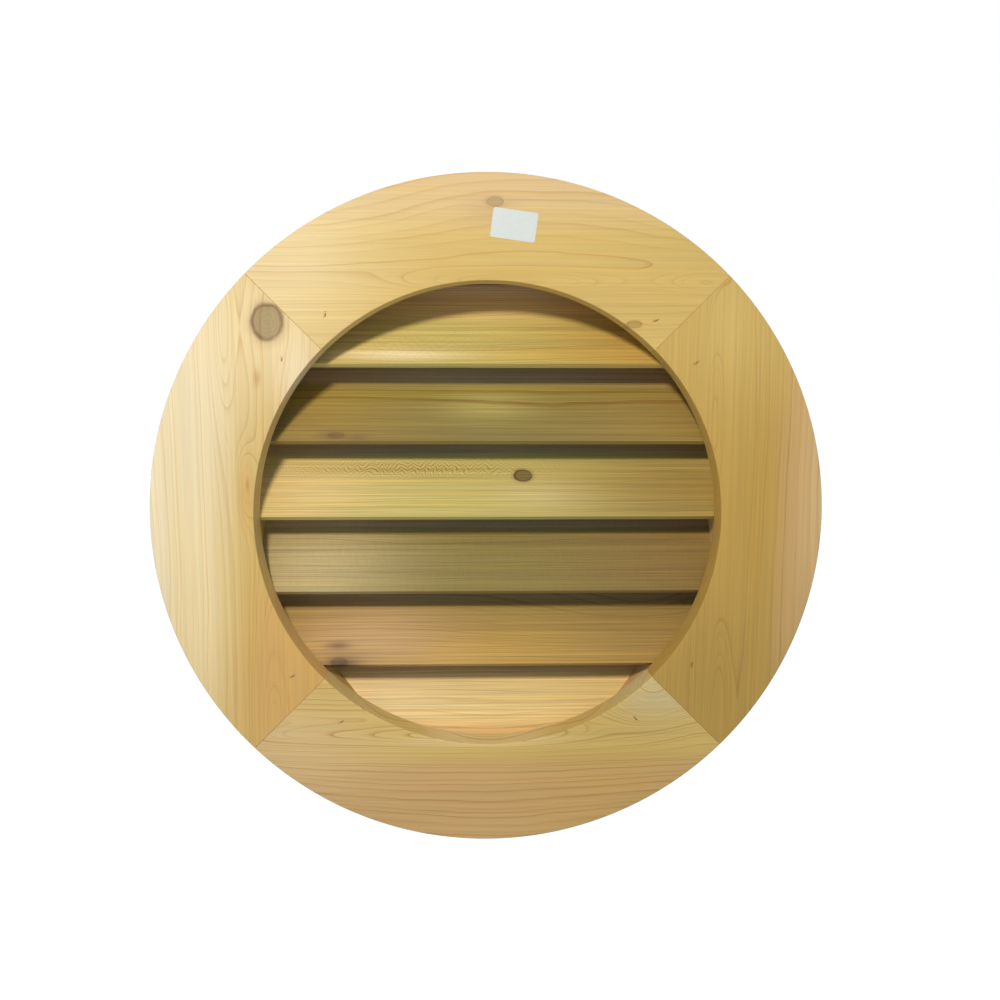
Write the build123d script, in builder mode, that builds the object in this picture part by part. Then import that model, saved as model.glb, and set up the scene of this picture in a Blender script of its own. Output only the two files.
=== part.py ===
from build123d import *
import os
from math import cos, radians, sin, sqrt, tan

# Round gable vent in cedar: a mitred, round-cut face frame nailed to an eight-sided body
# that holds the sloping louvres in housings, with wire cloth stapled over the back.
# Origin: centre of the vent in the plane where the face frame lies on the wall.
# The front looks along -Y, +Z is up and +X is to the right as seen from the front.

os.makedirs("parts", exist_ok=True)

# Face frame
face_diameter = 584.2
opening_diameter = 406.4
face_thickness = 25.4
face_edge_ease = 0.8
mitre_centre_rise = 3.0

# Eight-sided body behind the face frame
body_board_thickness = 19.05
body_board_setback = 5.2

# Louvres
louvre_width = 95.25
louvre_thickness = 6.35
louvre_edge_radius = 0.8
louvre_tilt = 36.0
louvre_pitch = 67.8
lowest_louvre_drop = 1.6
louvre_setback = 0.75
housing_depth = 6.0
housing_clearance = 0.2
louvre_end_clearance = 0.3

# Wire cloth over the back
screen_thickness = 0.8
screen_lap = 14.0
screen_cell = 36.0
screen_rib = 3.0

# Staples through the face frame: crown, wire and legs, and how far the crowns are sunk
face_staple_crown = 5.8
face_staple_wire = 1.2
face_staple_leg = 38.0
face_staple_sink = 0.8
face_staple_inset = 6.6

# Where each pair stands along its diagonal body board, and how its crowns are turned, in degrees
face_staple_places = {
    "upper_right": ((19.4, 18.0), (-31.1, 32.0)),
    "upper_left": ((27.7, 83.0), (-25.1, 79.0)),
    "lower_left": ((36.1, 27.0), (-23.3, 31.0)),
    "lower_right": ((34.7, 90.0), (-35.0, 135.0)),
}

# Brads at the body's corners and at the louvre ends
brad_wire = 1.25
brad_sink = 0.8
corner_brad_length = 19.0
corner_brad_inset = 4.0
louvre_brad_length = 32.0

# Staples that hold the wire cloth
screen_staple_crown = 11.1
screen_staple_wire = 1.0
screen_staple_leg = 8.0
screen_staples_per_board = 3

# Shape rules
octagon_step = 45.0
board_names = (
    "right", "upper_right", "top", "upper_left", "left", "lower_left", "bottom", "lower_right"
)
face_board_names = {"right": 0, "top": 90, "left": 180, "bottom": 270}
through = 2.0 * face_diameter

# Sizes that follow
face_radius = face_diameter / 2
opening_radius = opening_diameter / 2
tilt_sin = sin(radians(louvre_tilt))
tilt_cos = cos(radians(louvre_tilt))
louvre_run = louvre_width * tilt_sin + louvre_thickness * tilt_cos
louvre_rise = louvre_width * tilt_cos - louvre_thickness * tilt_sin
body_depth = louvre_run + 2 * louvre_setback
body_apothem = opening_radius + body_board_setback
lowest_louvre_height = -(opening_radius + lowest_louvre_drop)
louvre_count = int((body_apothem - lowest_louvre_height) / louvre_pitch)
housing_width = louvre_thickness + 2 * housing_clearance
housing_length = (body_depth + housing_width) / tilt_sin

back_of_body = Plane.XZ.offset(-body_depth)


def half_length(reach=0.0):
    """Half the length of a body board's inner face, moved out by reach, between its mitres."""
    return (body_apothem + reach) * tan(radians(octagon_step / 2))


def on_board(index, along, reach=0.0):
    """Point (x, z) on a body board, at a distance along it from its middle."""
    angle = radians(octagon_step * index)
    out = body_apothem + reach
    return (out * cos(angle) - along * sin(angle), out * sin(angle) + along * cos(angle))


def octagon(reach):
    """Corners of the inside of the body, moved out by reach."""
    return [on_board(index, half_length(reach), reach) for index in range(8)]


def louvre_height(number):
    """Height of a louvre's lower front edge. Louvre 1 is the highest."""
    return lowest_louvre_height + (louvre_count - number) * louvre_pitch


def louvre_middle(number):
    """Centre (y, z) of a louvre's section."""
    return (body_depth / 2, louvre_height(number) + louvre_rise / 2)


# Louvre: a sloping board with eased edges, its ends cut to follow the body's inside. The highest
# and the lowest one are trimmed to fit between the top and bottom boards.
def make_louvre(number):
    with BuildPart() as louvre:
        with BuildSketch(Plane.YZ):
            with Locations(louvre_middle(number)):
                RectangleRounded(
                    louvre_thickness, louvre_width, louvre_edge_radius, rotation=-louvre_tilt
                )
        extrude(amount=through / 2, both=True)
        with BuildSketch(Plane.XZ):
            Polygon(*octagon(housing_depth - louvre_end_clearance), align=None)
            Rectangle(
                through, 2 * (body_apothem - louvre_end_clearance), mode=Mode.INTERSECT
            )
        extrude(amount=through / 2, both=True, mode=Mode.INTERSECT)
        add((louvre_brads.part, corner_brads.part), mode=Mode.SUBTRACT)
    return louvre


# Housings: the sloping grooves that run right across the side and diagonal boards, from the front
# to the back, one per louvre. The top and bottom boards have none.
def make_housings():
    with BuildPart() as housings:
        with BuildSketch(Plane.YZ):
            for number in range(1, louvre_count + 1):
                with Locations(louvre_middle(number)):
                    Rectangle(housing_width, housing_length, rotation=-louvre_tilt)
        extrude(amount=through / 2, both=True)
        with BuildSketch(Plane.XZ):
            Polygon(*octagon(housing_depth), align=None)
            Rectangle(through, 2 * body_apothem, mode=Mode.INTERSECT)
        extrude(amount=through / 2, both=True, mode=Mode.INTERSECT)
    return housings


# Places of the fasteners, as planes whose normals point out of the wood
def face_staple_planes():
    """Two staples to each mitre, one on either side, into the diagonal boards behind."""
    planes = []
    for name, places in face_staple_places.items():
        for along, turn in places:
            reach = body_board_thickness - face_staple_inset
            x, z = on_board(board_names.index(name), along, reach)
            crown = (cos(radians(turn)), 0, sin(radians(turn)))
            planes.append(Plane((x, -face_thickness, z), x_dir=crown, z_dir=(0, -1, 0)))
    return planes


def corner_brad_planes():
    """Two brads to each corner of the body, driven through the four square boards."""
    planes = []
    for index in range(0, 8, 2):
        angle = radians(octagon_step * index)
        along = half_length(body_board_thickness) - corner_brad_inset
        for side in (1, -1):
            x, z = on_board(index, side * along, body_board_thickness)
            for depth in (body_depth / 4, body_depth * 3 / 4):
                planes.append(
                    Plane((x, depth, z), x_dir=(0, 1, 0), z_dir=(cos(angle), 0, sin(angle)))
                )
    return planes


def louvre_brad_planes():
    """A brad into each end of each louvre, level, from the outside of the body."""
    square_reach = body_apothem + body_board_thickness
    planes = []
    for number in range(1, louvre_count + 1):
        y, z = louvre_middle(number)
        x = min(square_reach, sqrt(2) * square_reach - abs(z))
        for side in (1, -1):
            planes.append(Plane((side * x, y, z), x_dir=(0, 1, 0), z_dir=(side, 0, 0)))
    return planes


def screen_staple_planes():
    """Staples along the middle of each body board's back edge, over the wire cloth."""
    planes = []
    for index in range(8):
        angle = radians(octagon_step * index)
        spacing = 2 * half_length() / screen_staples_per_board
        for number in range(screen_staples_per_board):
            along = (number - (screen_staples_per_board - 1) / 2) * spacing
            x, z = on_board(index, along, body_board_thickness / 2)
            planes.append(
                Plane(
                    (x, body_depth + screen_thickness, z),
                    x_dir=(-sin(angle), 0, cos(angle)),
                    z_dir=(0, 1, 0),
                )
            )
    return planes


# Face staples: crowns sunk a little below the face, legs down into the body boards
sunk_planes = [plane.offset(-face_staple_sink) for plane in face_staple_planes()]
with BuildPart() as face_staples:
    with BuildSketch(*sunk_planes):
        Rectangle(face_staple_crown, face_staple_wire)
    extrude(amount=-face_staple_wire)
    with BuildSketch(*sunk_planes):
        with GridLocations(face_staple_crown - face_staple_wire, 0, 2, 1):
            Rectangle(face_staple_wire, face_staple_wire)
    extrude(amount=-face_staple_leg)

# The slots that those crowns leave in the face
with BuildPart() as face_staple_slots:
    with BuildSketch(*sunk_planes):
        Rectangle(face_staple_crown, face_staple_wire)
    extrude(amount=2 * face_staple_sink)

# Corner brads
with BuildPart() as corner_brads:
    with BuildSketch(*[plane.offset(-brad_sink) for plane in corner_brad_planes()]):
        Rectangle(brad_wire, brad_wire)
    extrude(amount=-corner_brad_length)

# Louvre brads
with BuildPart() as louvre_brads:
    with BuildSketch(*[plane.offset(-brad_sink) for plane in louvre_brad_planes()]):
        Rectangle(brad_wire, brad_wire)
    extrude(amount=-louvre_brad_length)

# The holes that the sunk brads leave at the surface
with BuildPart() as brad_holes:
    with BuildSketch(
        *[plane.offset(-brad_sink) for plane in corner_brad_planes() + louvre_brad_planes()]
    ):
        Rectangle(brad_wire, brad_wire)
    extrude(amount=brad_sink + brad_wire)

# Screen staples: crowns over the wire cloth, legs in the boards' back edges
with BuildPart() as screen_staples:
    with BuildSketch(*screen_staple_planes()):
        Rectangle(screen_staple_crown, screen_staple_wire)
    extrude(amount=screen_staple_wire)
    with BuildSketch(*screen_staple_planes()):
        with GridLocations(screen_staple_crown - screen_staple_wire, 0, 2, 1):
            Rectangle(screen_staple_wire, screen_staple_wire)
    extrude(amount=-screen_staple_leg)


# Face board: a quarter of the round frame between two mitres. The mitres meet a little above
# the centre that the ring was cut from.
face_wedge = [(0, 0), (face_diameter, -face_diameter), (face_diameter, face_diameter)]


def make_face_board(angle):
    with BuildPart() as board:
        with BuildSketch(Plane.XZ.offset(face_thickness)):
            Circle(face_radius)
            Circle(opening_radius, mode=Mode.SUBTRACT)
            with Locations((0, mitre_centre_rise)):
                Polygon(*face_wedge, rotation=angle, align=None, mode=Mode.INTERSECT)
        extrude(amount=-face_thickness)
        front = board.faces().sort_by(Axis.Y)[0]
        chamfer(front.edges().filter_by(GeomType.CIRCLE), length=face_edge_ease)
        add((face_staples.part, face_staple_slots.part), mode=Mode.SUBTRACT)
    return board


# Body board: mitred at both ends, with the louvre housings and the nail holes cut in
def make_body_board(index, housings):
    fasteners = (face_staples, corner_brads, louvre_brads, brad_holes, screen_staples)
    with BuildPart() as board:
        with BuildSketch(Plane.XZ):
            inner = half_length()
            outer = half_length(body_board_thickness)
            Polygon(
                on_board(index, -inner),
                on_board(index, -outer, body_board_thickness),
                on_board(index, outer, body_board_thickness),
                on_board(index, inner),
                align=None,
            )
        extrude(amount=-body_depth)
        add([housings.part] + [fastener.part for fastener in fasteners], mode=Mode.SUBTRACT)
    return board


# Wire cloth: crossed ribs in an eight-sided band that laps the backs of the body boards
screen_pitch = screen_cell + screen_rib
ribs_across = 2 * int(body_apothem / screen_pitch)
with BuildPart() as insect_screen:
    with BuildSketch(back_of_body):
        with GridLocations(screen_pitch, 0, ribs_across, 1):
            Rectangle(screen_rib, through)
        with GridLocations(0, screen_pitch, 1, ribs_across):
            Rectangle(through, screen_rib)
        Polygon(*octagon(0), align=None, mode=Mode.INTERSECT)
    extrude(amount=-screen_thickness)
    with BuildSketch(back_of_body):
        Polygon(*octagon(screen_lap), align=None)
        Polygon(*octagon(-screen_rib), align=None, mode=Mode.SUBTRACT)
    extrude(amount=-screen_thickness)
    add(screen_staples.part, mode=Mode.SUBTRACT)

# Write the pieces
for name, angle in face_board_names.items():
    face_board = make_face_board(angle)
    face_board.part.label = f"face_board_{name}"
    export_step(face_board.part, f"parts/face_board_{name}.step")

louvre_housings = make_housings()
for index, name in enumerate(board_names):
    body_board = make_body_board(index, louvre_housings)
    body_board.part.label = f"body_board_{name}"
    export_step(body_board.part, f"parts/body_board_{name}.step")

for number in range(1, louvre_count + 1):
    louvre = make_louvre(number)
    louvre.part.label = f"louvre_{number}"
    export_step(louvre.part, f"parts/louvre_{number}.step")

insect_screen.part.label = "insect_screen"
export_step(insect_screen.part, "parts/insect_screen.step")

face_staples.part.label = "face_staples"
export_step(face_staples.part, "parts/face_staples.step")

corner_brads.part.label = "corner_brads"
export_step(corner_brads.part, "parts/corner_brads.step")

louvre_brads.part.label = "louvre_brads"
export_step(louvre_brads.part, "parts/louvre_brads.step")

screen_staples.part.label = "screen_staples"
export_step(screen_staples.part, "parts/screen_staples.step")
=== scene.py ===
"""Round gable vent in cedar: the looks of its face frame, louvres, body, wire cloth and fasteners."""

from dataclasses import dataclass
from math import atan2, cos, hypot, pi, radians, sin, sqrt

import bmesh
import bpy
from bpy.props import FloatProperty, FloatVectorProperty, IntProperty, PointerProperty
from mathutils import Matrix, Vector


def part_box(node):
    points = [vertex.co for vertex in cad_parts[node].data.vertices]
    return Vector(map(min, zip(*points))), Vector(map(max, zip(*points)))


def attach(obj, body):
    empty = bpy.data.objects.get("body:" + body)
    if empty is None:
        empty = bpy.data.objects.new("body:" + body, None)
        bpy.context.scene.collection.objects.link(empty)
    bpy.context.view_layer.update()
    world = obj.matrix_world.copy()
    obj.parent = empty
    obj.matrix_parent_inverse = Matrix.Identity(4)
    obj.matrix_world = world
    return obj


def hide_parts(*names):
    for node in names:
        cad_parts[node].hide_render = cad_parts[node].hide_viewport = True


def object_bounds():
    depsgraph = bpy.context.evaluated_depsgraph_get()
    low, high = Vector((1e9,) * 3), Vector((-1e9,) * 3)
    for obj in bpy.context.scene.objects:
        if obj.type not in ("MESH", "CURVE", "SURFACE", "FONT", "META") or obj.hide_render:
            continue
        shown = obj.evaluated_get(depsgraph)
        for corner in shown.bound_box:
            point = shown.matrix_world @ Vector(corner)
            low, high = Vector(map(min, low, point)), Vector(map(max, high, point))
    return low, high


bl_info = {
    "name": "Round Gable Vent",
    "version": (1, 0, 0),
    "blender": (4, 5, 0),
    "location": "View3D > Sidebar > Gable Vent",
    "description": "Builds a round cedar gable vent with sloping louvres and wire cloth",
    "category": "Add Mesh",
}

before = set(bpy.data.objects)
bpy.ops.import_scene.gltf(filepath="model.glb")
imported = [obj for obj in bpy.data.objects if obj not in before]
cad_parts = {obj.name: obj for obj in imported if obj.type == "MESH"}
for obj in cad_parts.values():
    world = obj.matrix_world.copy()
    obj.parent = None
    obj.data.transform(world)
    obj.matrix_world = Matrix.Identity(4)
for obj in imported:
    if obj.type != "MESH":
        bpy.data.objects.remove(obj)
cad_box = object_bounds()

# Sizes in metres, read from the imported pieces, and the slope of the louvres. The sanded front lies
# a little behind the CAD model's, which leaves room for the label
MM = 0.001
FACE_RADIUS = cad_box[1].x
FACE_FRONT = cad_box[0].y
SANDED_FRONT = FACE_FRONT + 0.2 * MM
TOP_BOARD_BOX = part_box("face_board_top")
MITRE_RISE = sqrt(FACE_RADIUS**2 - TOP_BOARD_BOX[1].x ** 2) - TOP_BOARD_BOX[1].x
OPENING_RADIUS = hypot(TOP_BOARD_BOX[0].z, TOP_BOARD_BOX[0].z - MITRE_RISE)
SCREEN_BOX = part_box("insect_screen")
BODY_BACK = SCREEN_BOX[0].y
LOUVRE_TILT = radians(36.0)

# The camera that took the photograph: place, turn and lens
CAMERA_PLACE = (-13.2 * MM, -844.5 * MM, 111.0 * MM)
CAMERA_YAW = radians(1.591)
CAMERA_PITCH = radians(6.578)
CAMERA_ROLL = radians(0.079)
CAMERA_LENS = 34.248

# Where the key light hangs, to the upper left in front of the vent, and how far the floor reaches
KEY_PLACE = (-0.20, -0.966, 0.553)
FLOOR_REACH = 12.0


def linear(code):
    """Linear colour of an sRGB code such as D8B070."""
    parts = [int(code[i : i + 2], 16) / 255 for i in (0, 2, 4)]
    return [p / 12.92 if p <= 0.04045 else ((p + 0.055) / 1.055) ** 2.4 for p in parts]


def opaque(colour, share=1.0):
    """A colour, or a darker share of it, with its alpha."""
    return (*(share * part for part in colour), 1.0)


WHITE = opaque((1.0, 1.0, 1.0))


def colour_property(name, code, description):
    return FloatVectorProperty(
        name=name, description=description, subtype="COLOR", size=3, min=0, max=1, default=linear(code)
    )


def length_property(name, value, description):
    return FloatProperty(name=name, description=description, default=value, min=0, unit="LENGTH")


class VENT_PG_cedar(bpy.types.PropertyGroup):
    """Tints of the cedar, which each board's bands and patches are mixed from"""

    cream: colour_property("Cream", "F6E8C6", "Palest sapwood, along the outside of a board")
    straw: colour_property("Straw", "F0DAA6", "Pale yellow wood")
    wheat: colour_property("Wheat", "E6CC8C", "Yellow wood")
    honey: colour_property("Honey", "DDC086", "Warm yellow wood")
    gold: colour_property("Gold", "D6B86C", "Deeper yellow heartwood")
    amber: colour_property("Amber", "D7A863", "Orange heartwood")
    ochre: colour_property("Ochre", "C19D4D", "Darker yellow heartwood")
    tan: colour_property("Tan", "D0AA70", "Brown heartwood")
    fawn: colour_property("Fawn", "DEBF8C", "Pale pinkish brown wood")
    sage: colour_property("Sage", "CEBC8A", "Grey-green sapwood")
    lime: colour_property("Lime", "C8BB6E", "Yellow-green heartwood")
    moss: colour_property("Moss", "97873C", "Dark yellow-green heartwood")
    olive: colour_property("Olive", "8A7C43", "Dark olive heartwood")
    bronze: colour_property("Bronze", "A18746", "Dark golden heartwood")
    umber: colour_property("Umber", "8D733F", "Darkest heartwood")
    rose: colour_property("Rose", "CCA878", "Pinkish heartwood")
    # Painted shade: the greyer tint of the shadow that each louvre casts on the upper part of the one below
    painted_shade: colour_property("Painted shade", "B6A282", "Grey dust on the upper part of a louvre, under the next one")
    latewood: colour_property("Latewood", "CFA67A", "What the dark ring lines multiply the wood by")
    smoke: colour_property("Smoke", "715A48", "Greyish purple stain at a small knot")
    knot: colour_property("Knot", "BAB5AC", "What the heart of a knot multiplies the wood by")
    knot_rim: colour_property("Knot rim", "8E7265", "What the dark ring round a knot multiplies the wood by")
    ring_spacing: length_property("Ring spacing", 4.6 * MM, "Distance between the rings of the wood")


class VENT_PG_face(bpy.types.PropertyGroup):
    """Sizes of the round face frame's boards"""

    edge_ease: length_property("Edge ease", 0.9 * MM, "Radius of the sanded front edges")
    mitre_gap: length_property("Mitre gap", 0.12 * MM, "Width of the closed joints between the boards")
    arc_steps: IntProperty(name="Arc steps", description="Steps round each board", default=96, min=8)


class VENT_PG_fasteners(bpy.types.PropertyGroup):
    """Sizes and colour of the staples and brads"""

    wire_sides: IntProperty(name="Wire sides", description="Sides of the wire's section", default=8, min=3)
    face_leg: length_property("Face staple leg", 38.0 * MM, "Length of the face staples")
    face_wire: length_property("Face staple wire", 1.2 * MM, "Thickness of the face staples' wire")
    screen_leg: length_property("Screen staple leg", 8.0 * MM, "Length of the wire cloth's staples")
    screen_wire: length_property("Screen staple wire", 1.0 * MM, "Thickness of the wire cloth's staples")
    brad_wire: length_property("Brad wire", 1.25 * MM, "Thickness of the brads")
    steel: colour_property("Steel", "77746C", "Galvanised steel wire")


class VENT_PG_cloth(bpy.types.PropertyGroup):
    """Sizes and colour of the woven wire cloth"""

    mesh_pitch: length_property("Mesh pitch", 3.2 * MM, "Distance between the wires")
    wire: length_property("Wire", 0.38 * MM, "Thickness of the wires")
    metal: colour_property("Metal", "A9ABAB", "Aluminium wire")


class VENT_PG_label(bpy.types.PropertyGroup):
    """Size and colour of the bare paper label"""

    width: length_property("Width", 38.0 * MM, "Width of the label")
    height: length_property("Height", 24.6 * MM, "Height of the label")
    corner: length_property("Corner", 2.2 * MM, "Radius of the label's corners")
    thickness: length_property("Thickness", 0.14 * MM, "Thickness of the paper")
    paper: colour_property("Paper", "D3DBD9", "Cool white paper")


class VENT_PG_stage(bpy.types.PropertyGroup):
    """The studio round the vent"""

    key_power: FloatProperty(
        name="Key power", description="Power of the soft key light", default=8.2, unit="POWER"
    )
    key_size: length_property("Key size", 0.13, "Width of the key light")
    ambient: FloatProperty(name="Ambient", description="Strength of the even light all round", default=0.45)
    key_tint: colour_property("Key tint", "FFF1DE", "Slightly warm key light")
    ambient_tint: colour_property("Ambient tint", "CDE6FF", "Cool even light that fills the shadows")
    floor_drop: length_property("Floor drop", 0.75, "How far the floor lies below the vent")
    floor: colour_property("Floor", "F2F1EE", "Pale floor")


class VENT_PG_settings(bpy.types.PropertyGroup):
    """All the settings of the vent"""

    cedar: PointerProperty(type=VENT_PG_cedar)
    face: PointerProperty(type=VENT_PG_face)
    fasteners: PointerProperty(type=VENT_PG_fasteners)
    cloth: PointerProperty(type=VENT_PG_cloth)
    label: PointerProperty(type=VENT_PG_label)
    stage: PointerProperty(type=VENT_PG_stage)


# Short calls for building node trees
def feed(tree, value, socket):
    """Links a socket to another one, or sets its value."""
    if isinstance(value, bpy.types.NodeSocket):
        tree.links.new(value, socket)
    elif value is not None:
        socket.default_value = value


def add_node(tree, kind, settings=None, **inputs):
    """A new node, with its settings made and its inputs fed by name."""
    node = tree.nodes.new(kind)
    for name, value in (settings or {}).items():
        setattr(node, name, value)
    for name, value in inputs.items():
        feed(tree, value, node.inputs[name.replace("_", " ")])
    return node


def maths(tree, operation, *values):
    """The result of a Math node."""
    node = add_node(tree, "ShaderNodeMath", {"operation": operation})
    for value, socket in zip(values, node.inputs):
        feed(tree, value, socket)
    return node.outputs[0]


def mix(tree, amount, first, second, blend="MIX"):
    """Two colours mixed by an amount."""
    node = add_node(tree, "ShaderNodeMix", {"data_type": "RGBA", "blend_type": blend})
    for value, socket in zip((amount, first, second), (node.inputs[0], node.inputs[6], node.inputs[7])):
        feed(tree, value, socket)
    return node.outputs[2]


def smooth_step(tree, value, low, high):
    """0 below low, 1 above high, and smooth between them. It falls where low is above high."""
    settings = {"interpolation_type": "SMOOTHSTEP"}
    inputs = {"Value": value, "From_Min": low, "From_Max": high}
    return add_node(tree, "ShaderNodeMapRange", settings, **inputs).outputs[0]


def stretched_noise(tree, vector, scale, detail=2.0):
    """Noise about zero, from -0.5 to 0.5, drawn out by a scale along each axis."""
    scaled = add_node(tree, "ShaderNodeVectorMath", {"operation": "MULTIPLY"})
    feed(tree, vector, scaled.inputs[0])
    feed(tree, scale, scaled.inputs[1])
    noise = add_node(tree, "ShaderNodeTexNoise", Vector=scaled.outputs[0], Scale=1.0, Detail=detail)
    return maths(tree, "SUBTRACT", noise.outputs[0], 0.5)


def new_group(name, inputs, outputs):
    """A shader node group with its sockets, its input node and its output node."""
    tree = bpy.data.node_groups.new(name, "ShaderNodeTree")
    for label, kind in inputs:
        tree.interface.new_socket(label, in_out="INPUT", socket_type=kind)
    for label, kind in outputs:
        tree.interface.new_socket(label, in_out="OUTPUT", socket_type=kind)
    return tree, tree.nodes.new("NodeGroupInput").outputs, tree.nodes.new("NodeGroupOutput").inputs


def use_group(tree, group, **inputs):
    return add_node(tree, "ShaderNodeGroup", {"node_tree": group}, **inputs).outputs


def group_named(name, build):
    return bpy.data.node_groups.get(name) or build(name)


def object_place(tree):
    return add_node(tree, "ShaderNodeTexCoord").outputs["Object"]


NUMBER = "NodeSocketFloat"
WHOLE_NUMBER = "NodeSocketInt"
COLOUR = "NodeSocketColor"
VECTOR = "NodeSocketVector"
MATERIAL = "NodeSocketMaterial"
GEOMETRY = "NodeSocketGeometry"

# A spot on a board, and what a group that works round one is given
SPOT = ("Centre Along", "Centre Across", "Half Length", "Half Width")
SPOT_INPUTS = [(label, NUMBER) for label in ("Along", "Across", *SPOT)]


def spot_sizes(spot):
    """The sizes of a spot, given in mm, by the names of a group's inputs."""
    return {label: value * MM for label, value in zip(SPOT, spot)}


def reach_squared(tree, given):
    """How far off a spot's centre a point lies, in the spot's half sizes, squared."""
    squares = []
    for way, size in (("Along", "Half Length"), ("Across", "Half Width")):
        offset = maths(tree, "SUBTRACT", given[way], given[f"Centre {way}"])
        share = maths(tree, "DIVIDE", offset, given[size])
        squares.append(maths(tree, "MULTIPLY", share, share))
    return maths(tree, "ADD", *squares)


def bell(tree, squared):
    """1 where a squared distance is 0, and falling smoothly to 0."""
    return maths(tree, "EXPONENT", maths(tree, "MULTIPLY", squared, -1.0))


def build_swell(name):
    """A smooth hill over the board: 1 at its centre and near 0 at twice its half sizes."""
    tree, given, result = new_group(name, SPOT_INPUTS, [("Amount", NUMBER)])
    feed(tree, bell(tree, reach_squared(tree, given)), result["Amount"])
    return tree


def swell(tree, along, across, spot):
    """Amount of a hill on a spot."""
    group = group_named("Swell", build_swell)
    return use_group(tree, group, Along=along, Across=across, **spot_sizes(spot))["Amount"]


# How often each mark in the wood changes per metre along, across and through a board
FADES = (14.0, 40.0, 40.0)
FIBRES = (22.0, 1500.0, 1500.0)
STREAKS = (5.0, 260.0, 260.0)
THREADS = (4.0, 620.0, 620.0)
CLOUDS = (7.0, 22.0, 22.0)
FLECKS = (520.0, 160.0, 160.0)
WAVERS = (5.0, 11.0, 11.0)
RIPPLES = (28.0, 45.0, 45.0)
KNOT_WOBBLES = (110.0, 110.0, 110.0)
KNOT_RIM_GAPS = (55.0, 55.0, 55.0)

# How much each mark changes the tone of the wood, and what a strong streak multiplies it by
FIBRE_TONE = 0.16
STREAK_TONE = 0.2
THREAD_TONE = 0.36
CLOUD_TONE = 0.12
FLECK_TONE = 0.35
WARM_STREAK = (1.0, 0.965, 0.88)

# The rings: how far and how often they stray, the shade they rise to, how steeply a line darkens and
# where it ends, how rare heavy lines are, their least and added weight, and how much they fade
RING_STRAY = 2.2
RING_STRAY_RATE = 0.45
RING_SHADE = 0.1
LINE_STEEPNESS = 7.0
LINE_END = 0.93
LINE_RARITY = 1.6
LINE_LEAST = 0.2
LINE_ADDED = 1.15
LINE_FADING = 1.6

# How far the wood strays across a board, how far round a knot it bends and by what share, in half
# sizes of the knot, and how much it ripples and how wide the stripes are in a zigzag figure
WAVER_REACH = 16 * MM
RIPPLE_REACH = 1.6 * MM
KNOT_BEND_SIZES = (2.6, 1.5)
KNOT_BEND = 0.75
CHEVRON_RIPPLE = 32 * MM
CHEVRON_STRIPE = 0.4

# Knots: how uneven the outline is, how wide the rim, how many growth rings, how uneven they are, how
# strong the stain round it, and the share of its tint that a dark growth ring has
KNOT_UNEVEN = 0.3
KNOT_RIM_WIDTH = 0.12
KNOT_GROWTH = 21.0
KNOT_GROWTH_UNEVEN = 9.0
KNOT_STAIN = 0.3
KNOT_DARK_GROWTH = 0.86


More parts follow.
